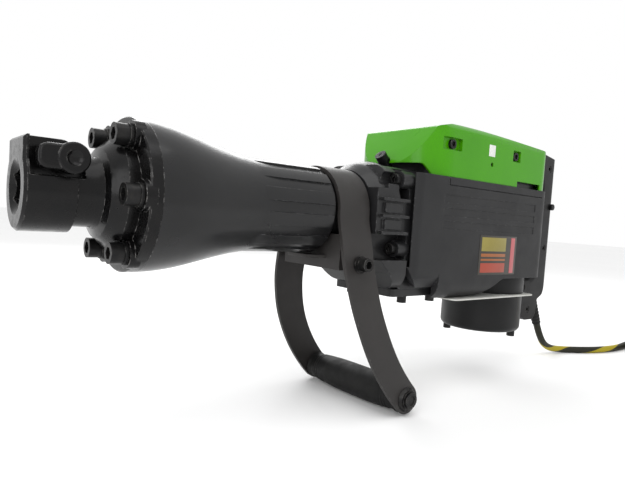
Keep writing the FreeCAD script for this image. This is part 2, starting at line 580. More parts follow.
# ---------- crank case ----------
def crank_case():
    collar = rod(NECK_R, V(BARREL_END, 0, 0), V(CASE_FRONT + 1, 0, 0))
    shoulder = turned([(CASE_FRONT, 0), (CASE_FRONT, SHOULDER_START_R),
                       (CASE_FRONT + 10, SHOULDER_START_R + 7), (SHOULDER_END - 6, SHOULDER_R - 1),
                       (SHOULDER_END, SHOULDER_R), (SHOULDER_END, 0)])
    shoulder = shoulder.common(box(CASE_FRONT, SHOULDER_END, -90, 90, RIB_LEVELS[0], 90))
    half = CASE_HALF_WIDTH
    upper = prism(rectangle(CASE_FRONT, CASE_BACK, CASE_STEP, GEAR_CASE_FLOOR), "xz", -half, half,
                  [10, 0, 0, 0])
    roof = prism(rectangle(-half, half, GEAR_CASE_FLOOR - 4, CASE_TOP), "yz", ROOF_FRONT,
                 GEAR_CASE_FRONT, [0, 0, ROOF_R, ROOF_R])
    belly_half = BELLY_HALF_WIDTH
    belly = prism([(CASE_FRONT + 4, CASE_STEP + 4), (CASE_BACK, CASE_STEP + 4),
                   (CASE_BACK, CASE_BOTTOM), (CASE_FRONT + 45, CASE_BOTTOM),
                   (CASE_FRONT + 18, CASE_STEP - 12)], "xz", -belly_half, belly_half,
                  [0, 0, 0, 8, 14])
    chin_high = CASE_STEP + 1
    chin = prism([(CASE_FRONT + 4, chin_high), (HOUSING_FRONT - FREE_GAP, chin_high),
                  (HOUSING_FRONT - FREE_GAP, CASE_BOTTOM), (CASE_FRONT + 32, CASE_BOTTOM),
                  (CASE_FRONT + 18, CASE_STEP - 12)], "xz", -CHIN_HALF_WIDTH, CHIN_HALF_WIDTH,
                 [0, 0, 0, 5, 14])
    chin = chin.common(prism(rectangle(-CHIN_HALF_WIDTH, CHIN_HALF_WIDTH, CASE_BOTTOM, 0), "yz",
                             CASE_FRONT, HOUSING_FRONT, [CHIN_R, CHIN_R, 0, 0]))
    ribs = []
    for side in (-1, 1):
        for level in RIB_LEVELS:
            low, high = sorted((side * (half - 1), side * (half + 5)))
            ribs.append(box(CASE_FRONT + 4, RIB_BACK, low, high, level - 1.5, level + 1.5))
        for top, bottom in zip(RIB_LEVELS, RIB_LEVELS[1:]):
            low, high = sorted((side * (half - 1), side * (half + 3)))
            ribs.append(box(CASE_FRONT + 9, RIB_BACK - 9, low, high, bottom + 3.5, top - 3.5))
    body = fused([collar, shoulder, upper, roof, belly, chin] + ribs)
    bosses, pockets = [], []
    for side in (-1, 1):
        for level, out, radius in FRONT_BOSSES:
            if level > 0:
                start, inner = SHOULDER_END, out - radius
                low, high = RIB_LEVELS[0] + 1.5, CASE_TOP - 3
            else:
                start, inner = CASE_FRONT - 1, out - radius + 2
                low, high = CASE_STEP + 1, RIB_LEVELS[-1] - 1.5
            near, far = sorted((side * inner, side * HOUSING_HALF_WIDTH))
            pockets.append(box(start, HOUSING_FRONT + 3, near, far, low, high))
            pockets.append(rod(BOSS_SCREW_HEAD_R + 1.5, V(BOSS_SEAT - 22, side * out, level),
                               V(BOSS_SEAT, side * out, level)))
            bosses.append(rod(radius, V(BOSS_SEAT, side * out, level),
                              V(HOUSING_FRONT + 6, side * out, level)))
    body = cut_all(body, pockets).fuse(bosses)
    inner = half - CASE_WALL - 7
    tools = [rod(SLEEVE_R + SEAT_GAP, V(BARREL_END - 1, 0, 0), V(CASE_FRONT + 30, 0, 0)),
             rod(BORE_R + 2, V(CASE_FRONT + 29, 0, 0), V(CASE_FRONT + 40, 0, 0)),
             box(CASE_FRONT + 38, CASE_BACK - CASE_WALL, -inner, inner, CASE_BOTTOM - 1,
                 GEAR_CASE_FLOOR - 4),
             rod(CRANK_WEB_R + AIR_GAP * 2, V(CRANK_X, 0, 0), V(CRANK_X, 0, GEAR_CASE_FLOOR + 1))]
    for x, y in bottom_screw_places():
        tools.append(rod(M6_R + SEAT_GAP, V(x, y, CASE_BOTTOM - 1), V(x, y, CASE_BOTTOM + 13)))
    for side in (-1, 1):
        for level, out, _ in FRONT_BOSSES:
            tools.append(rod(BOSS_SCREW_R + SEAT_GAP, V(BOSS_SEAT - 1, side * out, level),
                             V(BOSS_SEAT + 12, side * out, level)))
    return cut_all(body, tools)


def bottom_screw_places():
    inset = BELLY_HALF_WIDTH - 6
    return [(x, y) for x in (BOTTOM_PLATE_FRONT + 22, BOTTOM_PLATE_BACK - 16) for y in (-inset, inset)]


def bottom_plate():
    half = BELLY_HALF_WIDTH - 1
    plate = prism(rectangle(BOTTOM_PLATE_FRONT, BOTTOM_PLATE_BACK, -half, half), "xy",
                  CASE_BOTTOM - BOTTOM_PLATE, CASE_BOTTOM, 6)
    return cut_all(plate, [rod(M6_R + SEAT_GAP, V(x, y, CASE_BOTTOM - BOTTOM_PLATE - 1),
                               V(x, y, CASE_BOTTOM + 1)) for x, y in bottom_screw_places()])


def crank_case_screws():
    """Screws of the bottom plate, and those in the case's four forward bosses."""
    seat = CASE_BOTTOM - BOTTOM_PLATE
    screws = [cap_screw(V(x, y, seat), Z, M6_R, M6_HEAD_R, M6_HEAD, BOTTOM_PLATE + 12)
              for x, y in bottom_screw_places()]
    for side in (-1, 1):
        for level, out, _ in FRONT_BOSSES:
            screws.append(cap_screw(V(BOSS_SEAT, side * out, level), X, BOSS_SCREW_R,
                                    BOSS_SCREW_HEAD_R, BOSS_SCREW_HEAD, 11))
    return Part.makeCompound(screws)


def oil_plug_line():
    """Foot and direction of the plug, square to the sloping front of the top cover."""
    return V(COVER_FRONT + 8, 0, CASE_TOP), V(-1, 0, 1).normalize()


def oil_plug():
    foot, out = oil_plug_line()
    stem = rod(OIL_PLUG_R - 1.5, foot - out * 6, foot + out * 16)
    body = fused([stem, rod(OIL_PLUG_R, foot + out * 14, foot + out * 22)])
    slot = box(-2, 2, -1, 1, 0, 4)
    slot.Placement = FreeCAD.Placement(foot + out * 20, FreeCAD.Rotation(Z, out))
    return body.cut(slot).cut(box(ROOF_FRONT, GEAR_CASE_FRONT, -20, 20, CASE_TOP - 20, CASE_TOP))


# ---------- gear case, motor ----------
def gear_case_block(low, high, inset):
    half = GEAR_CASE_HALF_WIDTH - inset
    front, back = GEAR_CASE_FRONT + inset, GEAR_CASE_BACK - inset
    return prism(rectangle(front, back, -half, half), "xy", low, high, 12)


def gear_case():
    outer = gear_case_block(GEAR_CASE_FLOOR, GEAR_CASE_RIM, 0)
    tools = [gear_case_block(GEAR_CASE_DECK, GEAR_CASE_RIM + 1, GEAR_CASE_WALL),
             rod(CRANK_WEB_R + 2, V(CRANK_X, 0, 0), V(CRANK_X, 0, GEAR_CASE_FLOOR + 2))]
    tools += [seat for seat, spot in zip(bearing_seats(), BEARING_STATIONS) if spot[2] > 0]
    for x, radius in ((CRANK_X, CRANK_SHAFT_R), (IDLER_X, IDLER_SHAFT_R), (MOTOR_X, ARMATURE_SHAFT_R)):
        low = GEAR_CASE_FLOOR + 6 if x == IDLER_X else GEAR_CASE_FLOOR - 1
        tools.append(rod(radius + AIR_GAP, V(x, 0, low), V(x, 0, GEAR_CASE_DECK + 1)))
    for side in (-1, 1):
        for x, z in COVER_SCREWS:
            tools.append(rod(2.5 + SEAT_GAP, V(x, side * (GEAR_CASE_HALF_WIDTH + 1), z),
                             V(x, side * (GEAR_CASE_HALF_WIDTH - 3), z)))
    return cut_all(outer, tools)


def gear_case_lid():
    return gear_case_block(GEAR_CASE_RIM, GEAR_CASE_RIM + GEAR_CASE_LID, 0)


def motor_tube():
    """Motor body: the tube round the stator, its top bell and its foot flange."""
    shell = tube(MOTOR_R, STATOR_R + SEAT_GAP, V(MOTOR_X, 0, HOUSING_BOTTOM),
                 V(MOTOR_X, 0, GEAR_CASE_FLOOR))
    skirt = rod(MOTOR_SKIRT_R, V(MOTOR_X, 0, HOUSING_BOTTOM), V(MOTOR_X, 0, HOUSING_TAIL_BOTTOM + 2))
    return shell.fuse(skirt.cut(rod(MOTOR_R - 1, V(MOTOR_X, 0, HOUSING_BOTTOM - 1),
                                    V(MOTOR_X, 0, 0)))).removeSplitter()


def stator():
    core = tube(STATOR_R, STATOR_BORE, V(MOTOR_X, 0, STATOR_LOW), V(MOTOR_X, 0, STATOR_HIGH))
    for side in (-1, 1):
        low, high = sorted((side * (STATOR_BORE + 3), side * (STATOR_R - 5)))
        core = core.cut(box(MOTOR_X - 17, MOTOR_X + 17, low, high, STATOR_LOW - 1, STATOR_HIGH + 1))
    return core


def field_coils():
    coils = []
    for side in (-1, 1):
        low, high = sorted((side * (STATOR_BORE + 3.5), side * (STATOR_R - 5.5)))
        coils.append(prism(rectangle(MOTOR_X - 16.5, MOTOR_X + 16.5, STATOR_LOW - 8, STATOR_HIGH + 8),
                           "xz", low, high, 6))
    return Part.makeCompound(coils)


def armature_shaft():
    """Motor shaft with the pinion cut on its upper end."""
    low = TAIL_BOTTOM + TAIL_WALL + 2
    thin = ARMATURE_SHAFT_R * 0.7
    pinion = spur(FIRST_MODULE, PINION_TEETH, MOTOR_X, GEAR_HIGH_Z, GEAR_HIGH_FACE, thin - 1, 0)
    return fused([rod(ARMATURE_SHAFT_R, V(MOTOR_X, 0, low), V(MOTOR_X, 0, GEAR_CASE_DECK)),
                  rod(thin, V(MOTOR_X, 0, GEAR_CASE_DECK), V(MOTOR_X, 0, GEAR_HIGH_Z + GEAR_HIGH_FACE)),
                  pinion])


def on_shaft(radius, low, high):
    return tube(radius, ARMATURE_SHAFT_R, V(MOTOR_X, 0, low), V(MOTOR_X, 0, high))


def armature_core():
    core = on_shaft(ROTOR_R, STATOR_LOW, STATOR_HIGH)
    slots = []
    for i in range(12):
        slot = box(MOTOR_X + ROTOR_R - 7, MOTOR_X + ROTOR_R + 1, -1.5, 1.5, STATOR_LOW - 1, STATOR_HIGH + 1)
        slot.rotate(V(MOTOR_X, 0, 0), Z, 30 * i)
        slots.append(slot)
    return cut_all(core, slots)


def commutator():
    return on_shaft(COMMUTATOR_R, COMMUTATOR_LOW, COMMUTATOR_HIGH)


def cooling_fan():
    hub = on_shaft(12.0, FAN_LOW, FAN_HIGH)
    plate = on_shaft(FAN_R, FAN_HIGH - 2.5, FAN_HIGH)
    blades = []
    for i in range(10):
        blade = box(MOTOR_X + 11, MOTOR_X + FAN_R, -1, 1, FAN_LOW, FAN_HIGH)
        blade.rotate(V(MOTOR_X, 0, 0), Z, 36 * i)
        blades.append(blade)
    return fused([hub, plate] + blades)


BRUSH_Z = (COMMUTATOR_LOW + COMMUTATOR_HIGH) / 2


def carbon_brushes():
    return Part.makeCompound([box(*sorted((MOTOR_X + side * (COMMUTATOR_R + FREE_GAP), MOTOR_X + side * 30)),
                                  -3.5, 3.5, BRUSH_Z - 5, BRUSH_Z + 5) for side in (-1, 1)])


def brush_holders():
    holders = []
    for side in (-1, 1):
        span = sorted((MOTOR_X + side * 19, MOTOR_X + side * 42))
        holder = box(*span, -8, 8, BRUSH_Z - 9, HOUSING_BOTTOM)
        holders.append(holder.cut(box(span[0] - 1, span[1] + 1, -3.6, 3.6, BRUSH_Z - 5.1, BRUSH_Z + 5.1)))
    return Part.makeCompound(holders)


def tail_cap():
    start, end = V(MOTOR_X, 0, TAIL_BOTTOM), V(MOTOR_X, 0, HOUSING_BOTTOM)
    cup = rod(TAIL_R, start, end)
    cup = cup.makeFillet(7.0, [e for e in cup.Edges if e.BoundBox.ZMax < TAIL_BOTTOM + 0.01])
    cup = cup.cut(rod(TAIL_R - TAIL_WALL, start + Z * TAIL_WALL, end + Z))
    cup = cup.fuse([rod(7.0, V(x, y, TAIL_BOTTOM + 1), V(x, y, HOUSING_BOTTOM)).cut(
        rod(TAIL_R + 9, start, end).cut(rod(TAIL_R - 1, start, end))) for x, y in tail_screw_places()])
    x, r, z, thick = BEARING_STATIONS[-1]
    cup = cup.fuse(tube(r + BEARING_WALL + 4, r + BEARING_WALL + SEAT_GAP, V(x, 0, TAIL_BOTTOM + 1),
                        V(x, 0, z + thick)))
    return cut_all(cup, [rod(M6_R + SEAT_GAP, V(x, y, TAIL_BOTTOM - 1), V(x, y, HOUSING_BOTTOM + 1))
                         for x, y in tail_screw_places()])


def tail_screw_places():
    reach = TAIL_R - TAIL_WALL - 6
    return [(MOTOR_X + reach * cos(radians(a)), reach * sin(radians(a))) for a in (-70, 50, 130)]


def tail_screws():
    return Part.makeCompound([cap_screw(V(x, y, TAIL_BOTTOM), Z, M6_R, M6_HEAD_R, M6_HEAD,
                                        HOUSING_BOTTOM - TAIL_BOTTOM) for x, y in tail_screw_places()])


# ---------- housing shells ----------
def shell_outline(grow):
    front, back = HOUSING_FRONT, HOUSING_BACK
    chin = CASE_BOTTOM - 1 - grow
    return [(front - grow, HOUSING_TOP), (front - grow, CASE_STEP), (front + 9 - grow, -66 - grow),
            (front + 25 - grow, chin), (SHELL_STEP_X - grow, chin),
            (SHELL_STEP_X - grow, HOUSING_BOTTOM - grow),
            (MOTOR_X - 90, HOUSING_BOTTOM - grow), (MOTOR_X - 50, HOUSING_TAIL_BOTTOM - grow),
            (back + grow, HOUSING_TAIL_BOTTOM - grow), (back + grow, HOUSING_TOP)]


def shell_form(inset):
    """Left-hand shell's outer form, or its hollow when inset by the wall."""
    side, middle = HOUSING_HALF_WIDTH - inset, min(inset, 1.0)
    front, back = HOUSING_FRONT + inset, HOUSING_BACK - inset
    edge = [0, 10, 14, 12, 2, 3, 12, 18, 6, 0]
    form = prism(shell_outline(-inset), "xz", -side, middle, edge)
    plan = prism([(front, -side), (back, -side), (back, middle), (front, middle)], "xy",
                 HOUSING_BOTTOM - 1, HOUSING_TOP + 1,
                 [SHELL_FRONT_R - inset, SHELL_BACK_R - inset, 0, 0])
    across = []
    for low, start, end in ((CASE_BOTTOM - 1 + inset, front, SHELL_STEP_X + inset),
                            (HOUSING_BOTTOM + inset, SHELL_STEP_X + inset, back)):
        across.append(prism([(-side, HOUSING_TOP + 20), (-side, low), (middle, low),
                             (middle, HOUSING_TOP + 20)], "yz", start, end,
                            [0, SHELL_BASE_R - inset, 0, 0]))
    return form.common(plan).common(fused(across))


def housing_shell():
    """Left-hand shell: a pan open towards the middle of the machine."""
    side = HOUSING_HALF_WIDTH
    tools = [shell_form(SHELL_WALL),
             box(HOUSING_FRONT - 1, HOUSING_FRONT + SHELL_WALL + 1, -CASE_HALF_WIDTH - AIR_GAP / 2, 1,
                 CASE_STEP - 1, HOUSING_TOP + 1),
             box(HOUSING_FRONT - 1, SHELL_STEP_X + SHELL_WALL + 1, -CASE_HALF_WIDTH - AIR_GAP / 2, 1,
                 HOUSING_BOTTOM - 1, CASE_STEP + SHELL_WALL + 1),
             box(SHELL_STEP_X - 1, CASE_BACK + 1, -BELLY_HALF_WIDTH - AIR_GAP / 2, 1,
                 HOUSING_BOTTOM - 1, CASE_BOTTOM + 10),
             box(HOUSING_FRONT - 1, RIB_BACK + 8, -CASE_HALF_WIDTH - 5.5, 1, CASE_STEP - 6, HOUSING_TOP + 1),
             rod(MOTOR_SKIRT_R + AIR_GAP / 2, V(MOTOR_X, 0, HOUSING_BOTTOM - 1),
                 V(MOTOR_X, 0, HOUSING_TAIL_BOTTOM + 3)),
             rod(MOTOR_R + AIR_GAP / 2, V(MOTOR_X, 0, HOUSING_BOTTOM), V(MOTOR_X, 0, GEAR_CASE_FLOOR))]
    groove_top, groove_depth = HOUSING_TOP - 8, 1.2
    tools.append(box(SHELL_STEP_X + 6, HOUSING_BACK - 26, -side - 1, -side + groove_depth,
                     groove_top - 1.2, groove_top))
    tools.append(box(SHELL_STEP_X + 6, SHELL_STEP_X + 7.5, -side - 1, -side + groove_depth,
                     groove_top, HOUSING_TOP + 1))
    for level in (26.0, 12.0, -2.0):
        tools.append(box(SHELL_STEP_X, HOUSING_BACK - 40, -side - 1, -side + 0.6, level - 8.5, level))
    return cut_all(shell_form(0), tools)


def base_gasket():
    """Bright plate under the shells, round the motor's foot."""
    half = HOUSING_HALF_WIDTH - 1
    plate = prism(rectangle(SHELL_STEP_X + 32, MOTOR_X + 30, -half, half), "xy",
                  HOUSING_BOTTOM - 1.5, HOUSING_BOTTOM, 8)
    return plate.cut(rod(TAIL_R + AIR_GAP / 2, V(MOTOR_X, 0, HOUSING_BOTTOM - 3), V(MOTOR_X, 0, 0)))


# ---------- top cover ----------
def cover_blank(inset, skirt):
    """Cover's outer form, or its hollow when inset by the sheet thickness."""
    top, half = COVER_TOP - inset, COVER_HALF_WIDTH - inset
    front, back = COVER_FRONT + inset, HOUSING_BACK - COVER_SETBACK - inset
    crest = front + COVER_LEAN
    side = [(front, COVER_FRONT_EDGE - skirt), (front + 2, COVER_FRONT_EDGE + 4), (crest, top - 7),
            (crest + 22, top - 2), (crest + 58, top), (back - 20, top - 8), (back, top - 16),
            (back, HOUSING_TOP - skirt), (front + 20, HOUSING_TOP - skirt),
            (front + 12, COVER_FRONT_EDGE - skirt)]
    plan = prism(rectangle(front, back, -half, half), "xy", 0, top + 20,
                 [COVER_FRONT_R - inset, COVER_BACK_R - inset, COVER_BACK_R - inset,
                  COVER_FRONT_R - inset])
    long = prism(side, "xz", -half, half, [0, 8, 7, 30, 60, 20, 6, 0, 4, 4])
    across = prism(rectangle(-half, half, 0, top), "yz", front - 1, back + 1,
                   [0, 0, COVER_EDGE_R - inset, COVER_EDGE_R - inset])
    return plan.common(long).common(across)


COVER_SCREWS = [(COVER_FRONT + 43, 80.0), (527.0, 81.0)]


def top_cover():
    body = cover_blank(0, 0).cut(cover_blank(COVER_SHEET, 5))
    half = COVER_HALF_WIDTH
    foot, out = oil_plug_line()
    tools, pans = [rod(OIL_PLUG_R + FREE_GAP, foot - out, foot + out * 40)], []
    for side in (-1, 1):
        for (x, z), wide in zip(COVER_SCREWS, (14.0, 8.0)):
            low, high = sorted((side * (half + 1), side * (half - 4.5)))
            pan_low, pan_high = sorted((side * (half - 0.1), side * (half - 6)))
            pans.append(box(x - wide - 1.5, x + wide + 1.5, pan_low, pan_high, z - 8, z + 8))
            tools.append(box(x - wide, x + wide, low, high, z - 6.5, z + 6.5))
            tools.append(rod(2.5 + SEAT_GAP, V(x, side * (half + 2), z), V(x, side * (half - 9), z)))
        notch = sorted((side * (half + 1), side * (half - COVER_SHEET - 1)))
        tools.append(box(532, 584, *notch, HOUSING_TOP - 1, HOUSING_TOP + 7))
        tools.append(rod(2.5, V(477, side * (half + 1), 66), V(477, side * (half - 3), 66)))
    pans = [pan.common(cover_blank(0, 0)) for pan in pans]
    return cut_all(body.fuse(pans), tools)


def cover_screws():
    screws = []
    for side in (-1, 1):
        for x, z in COVER_SCREWS:
            seat = V(x, side * (COVER_HALF_WIDTH - 4.5), z)
            screws.append(cap_screw(seat, Y * -side, 2.5, 5.0, 3.5, 4.5))
    return Part.makeCompound(screws)


# ---------- rear handle ----------
def handle_outline():
    hf, gb = HOUSING_BACK, GRIP_BACK
    return [(hf, 108), (hf + 26, 107), (gb - 2, 98), (gb - 2, 87), (gb - 8, 80), (gb - 1, 40),
            (gb, -30), (gb - 2, -78), (gb - 12, -98), (gb - 24, -104), (gb - 26, -126),
            (gb - 33, -133), (gb - 55, -133), (gb - 66, -124), (gb - 68, -98), (hf + 14, -86),
            (hf, -60), (hf, 0)]


def handle_body():
    radii = [0, 10, 3, 3, 4, 60, 90, 20, 9, 4, 4, 6, 8, 8, 8, 10, 0, 0]
    half = HANDLE_HALF_WIDTH
    body = prism(handle_outline(), "xz", -half, half, radii)
    grip = prism(rectangle(HANDLE_HOLE_FRONT, GRIP_FRONT, HANDLE_HOLE_LOW, HANDLE_HOLE_HIGH),
                 "xz", -half - 1, half + 1, [12, 16, 16, 12])
    body = body.cut(grip)
    along_grip = prism([(HOUSING_BACK - 1, -half), (GRIP_BACK, -half), (GRIP_BACK, half),
                        (HOUSING_BACK - 1, half)], "xy", -140, 110, [0, 11, 11, 0])
    body = body.common(along_grip)
    front_edges = [e for e in body.Edges if abs(e.BoundBox.YMax - e.BoundBox.YMin) < 0.01
                   and abs(abs(e.BoundBox.YMin) - half) < 0.01
                   and e.BoundBox.XMin > HANDLE_HOLE_FRONT - 1 and e.BoundBox.XMax < GRIP_FRONT + 1
                   and e.BoundBox.ZMin > HANDLE_HOLE_LOW - 1 and e.BoundBox.ZMax < HANDLE_HOLE_HIGH + 1]
    return body.makeFillet(HANDLE_EDGE_R, front_edges)


TRIGGER_X = GRIP_FRONT + 8.0
SWITCH_FRONT = TRIGGER_X + 13.0


def handle_tools():
    half = TRIGGER_HALF_WIDTH + FREE_GAP
    low, high = TRIGGER_PIVOT_Z - TRIGGER_LENGTH - 3, TRIGGER_PIVOT_Z + 6
    guard = V(*GUARD_TOP)
    away = (V(*GUARD_TIP) - guard).normalize()
    return [box(GRIP_FRONT - 3, SWITCH_FRONT, -half, half, low, high),
            box(SWITCH_FRONT - 1, SWITCH_FRONT + 15, -13, 13, low, high),
            rod(TRIGGER_PIVOT_R + SEAT_GAP, V(TRIGGER_X, -13, TRIGGER_PIVOT_Z),
                V(TRIGGER_X, 13, TRIGGER_PIVOT_Z)),
            rod(BUTTON_R + FREE_GAP, V(SWITCH_FRONT + 6, -20, BUTTON_Z), V(SWITCH_FRONT + 6, -12, BUTTON_Z)),
            rod(MOTOR_SKIRT_R + AIR_GAP / 2, V(MOTOR_X, 0, HOUSING_BOTTOM - 2), V(MOTOR_X, 0, 0)),
            rod(GUARD_TOP_R + SEAT_GAP, guard, guard + away * 30)]


def rear_handle_half(side):
    """One of the two moulded halves, split on the machine's middle plane."""
    half_space = box(HOUSING_BACK - 1, GRIP_BACK + 1, *sorted((0, side * 40)), -150, 120)
    shell = cut_all(handle_body().common(half_space), handle_tools())
    tools = []
    for x, z in HANDLE_SCREWS:
        tools.append(rod(2.5 + SEAT_GAP, V(x, -20, z), V(x, 20, z)))
        if side < 0:
            tools.append(rod(4.8, V(x, -20, z), V(x, -HANDLE_HALF_WIDTH + 4, z)))
    return cut_all(shell, tools)


HANDLE_SCREWS = [(640.0, 90.0), (684.0, 84.0), (GRIP_BACK - 18, -30.0), (GRIP_BACK - 48, -118.0),
                 (640.0, -86.0)]


def handle_screws():
    seat = -HANDLE_HALF_WIDTH + 4
    return Part.makeCompound([cap_screw(V(x, seat, z), Y, 2.5, 4.5, 3.5, HANDLE_HALF_WIDTH * 1.6)
                              for x, z in HANDLE_SCREWS])


def trigger():
    low = TRIGGER_PIVOT_Z - TRIGGER_LENGTH
    face = GRIP_FRONT - 12
    plate = prism([(face + 6, TRIGGER_PIVOT_Z + 4), (face, low + 22), (face + 2, low),
                   (TRIGGER_X, low), (TRIGGER_X + 4, TRIGGER_PIVOT_Z), (TRIGGER_X, TRIGGER_PIVOT_Z + 4)],
                  "xz", -TRIGGER_HALF_WIDTH, TRIGGER_HALF_WIDTH, [5, 30, 3, 2, 1, 1])
    return plate.cut(rod(TRIGGER_PIVOT_R + RUN_FIT, V(TRIGGER_X, -20, TRIGGER_PIVOT_Z),
                         V(TRIGGER_X, 20, TRIGGER_PIVOT_Z)))


def trigger_pin():
    return rod(TRIGGER_PIVOT_R, V(TRIGGER_X, -12.5, TRIGGER_PIVOT_Z), V(TRIGGER_X, 12.5, TRIGGER_PIVOT_Z))


def switch_block():
    low, high = TRIGGER_PIVOT_Z - TRIGGER_LENGTH, TRIGGER_PIVOT_Z + 3
    return box(SWITCH_FRONT, SWITCH_FRONT + 14, -8, 12, low, high)


def lock_button():
    x, side = SWITCH_FRONT + 6, -HANDLE_HALF_WIDTH
    body = rod(BUTTON_R, V(x, side - 4, BUTTON_Z), V(x, -12, BUTTON_Z))
    return body.makeFillet(1.2, [e for e in body.Edges if e.BoundBox.YMax < side - 3.9])


# ---------- side handle ----------
def strap_band():
    """Band seen along the barrel: a half circle over the collar, then two spreading arms."""
    def arm(side, inset):
        spots = [V(0, side * (STRAP_TOP_R - inset), 0)]
        spots += [V(0, side * (y - inset), z) for z, y in ARM_SPREAD]
        curve = Part.BSplineCurve()
        curve.interpolate(spots, InitialTangent=V(0, 0, -1), FinalTangent=V(0, side * 0.02, -1))
        return curve.toShape(), spots[-1]
    edges = []
    ends = []
    for inset in (0, STRAP_THICK):
        r = STRAP_TOP_R - inset
        edges.append(Part.Arc(V(0, -r, 0), V(0, 0, r), V(0, r, 0)).toShape())
        for side in (-1, 1):
            curve, end = arm(side, inset)
            edges.append(curve)
            ends.append(end)
    for side in (0, 1):
        edges.append(Part.LineSegment(ends[side], ends[side + 2]).toShape())
    wire = Part.Wire(Part.__sortEdges__(edges))
    face = Part.Face(wire)
    face.translate(V(STRAP_FRONT - 30, 0, 0))
    return face.extrude(X * 200)


def strap_side():
    """Strap seen from the side: upright over the collar, then leaning back to a round end."""
    def edge_x(offset, z):
        return STRAP_X + STRAP_LEAN_R - sqrt(STRAP_LEAN_R ** 2 - (STRAP_LEAN_START - z) ** 2) + offset
    half = STRAP_WIDTH / 2
    lean = (SIDE_GRIP_DROP + STRAP_LEAN_START) / STRAP_LEAN_R
    level = STRAP_LEAN_START - (-SIDE_GRIP_DROP)
    slope = level / sqrt(STRAP_LEAN_R ** 2 - level ** 2)
    across = V(1, 0, slope).normalize() * STRAP_END_R
    centre = V(SIDE_GRIP_X, 0, -SIDE_GRIP_DROP)
    down = V(slope, 0, -1).normalize() * STRAP_END_R
    mid_z = STRAP_LEAN_START - level * 0.55
    taper = half - 1.0
    top = STRAP_TOP_R + 5
    left_top, left_turn = V(STRAP_X - half, 0, top), V(STRAP_X - half, 0, STRAP_LEAN_START)
    right_top, right_turn = V(STRAP_X + half, 0, top), V(STRAP_X + half, 0, STRAP_LEAN_START)
    left_end, right_end = centre - across, centre + across
    edges = [Part.LineSegment(left_top, left_turn).toShape(),
             Part.Arc(left_turn, V(edge_x(-taper, mid_z), 0, mid_z), left_end).toShape(),
             Part.Arc(left_end, centre + down, right_end).toShape(),
             Part.Arc(right_end, V(edge_x(taper, mid_z), 0, mid_z), right_turn).toShape(),
             Part.LineSegment(right_turn, right_top).toShape(),
             Part.LineSegment(right_top, left_top).toShape()]
    face = Part.Face(Part.Wire(edges))
    face.translate(V(0, -100, 0))
    return face.extrude(Y * 200)


def clamp_bolt_y():
    return [y for z, y in ARM_SPREAD if z == -50.0][0]


def strap():
    tools = [rod(M8_R + SEAT_GAP, V(STRAP_X, -90, CLAMP_Z), V(STRAP_X, 90, CLAMP_Z)),
             rod(GRIP_ROD_R + SEAT_GAP, V(SIDE_GRIP_X, -90, -SIDE_GRIP_DROP),
                 V(SIDE_GRIP_X, 90, -SIDE_GRIP_DROP))]
    for side in (-1, 1):
        tools.append(rod(8.6, V(STRAP_X, side * clamp_bolt_y(), CLAMP_Z), V(STRAP_X, side * 90, CLAMP_Z)))
        tools.append(rod(12.6, V(SIDE_GRIP_X, side * ARM_END_Y, -SIDE_GRIP_DROP),
                         V(SIDE_GRIP_X, side * 90, -SIDE_GRIP_DROP)))
    return cut_all(strap_band().common(strap_side()), tools)


def clamp_liner():
    """Rubber half ring between the strap and the collar."""
    ring = tube(LINER_R, NECK_R + 0.3, V(STRAP_FRONT + 2, 0, 0), V(STRAP_FRONT + STRAP_WIDTH - 2, 0, 0))
    return ring.common(box(STRAP_FRONT, STRAP_FRONT + STRAP_WIDTH, -60, 60, 0, 60))


def clamp_saddle():
    """Lower half of the clamp: a cradle under the collar with ears out to the arms."""
    inner_y = clamp_bolt_y() - STRAP_THICK - 1.5
    low = CLAMP_Z - 7
    block = box(STRAP_FRONT + 3, STRAP_FRONT + STRAP_WIDTH - 3, -inner_y + 6, inner_y - 6, low, -22)
    wing = prism([(STRAP_FRONT - 14, -16), (STRAP_FRONT + 6, -24), (STRAP_FRONT + 6, 24),
                  (STRAP_FRONT - 14, 16)], "xy", CLAMP_Z + 2.5, CLAMP_Z + 5.5, 3)
    body = fused([block, wing])
    collar = rod(NECK_R + 0.3, V(STRAP_FRONT - 20, 0, 0), V(STRAP_FRONT + STRAP_WIDTH + 5, 0, 0))
    bolt = rod(M8_R + SEAT_GAP, V(STRAP_X, -90, CLAMP_Z), V(STRAP_X, 90, CLAMP_Z))
    return cut_all(body, [collar, bolt])


def clamp_bolt():
    seat = -clamp_bolt_y() - 4.2
    reach = 2 * clamp_bolt_y() + 16
    return cap_screw(V(STRAP_X, seat, CLAMP_Z), Y, M8_R, M8_HEAD_R, M8_HEAD, reach)


def clamp_nut_washers():
    """Washers under the clamp bolt's head and nut, and the nut on the far side."""
    face = clamp_bolt_y()
    rings = [(8.0, -face - 1.6, -face), (6.8, -face - 4.2, -face - 1.8), (8.0, face, face + 1.6)]
    pieces = [tube(r, M8_R + SEAT_GAP, V(STRAP_X, low, CLAMP_Z), V(STRAP_X, high, CLAMP_Z))
              for r, low, high in rings]
    nut = hexagon(13.0, V(STRAP_X, face + 1.6, CLAMP_Z), Y, 6.5)
    pieces.append(nut.cut(rod(M8_R + SEAT_GAP, V(STRAP_X, face, CLAMP_Z), V(STRAP_X, face + 9, CLAMP_Z))))
    return Part.makeCompound(pieces)


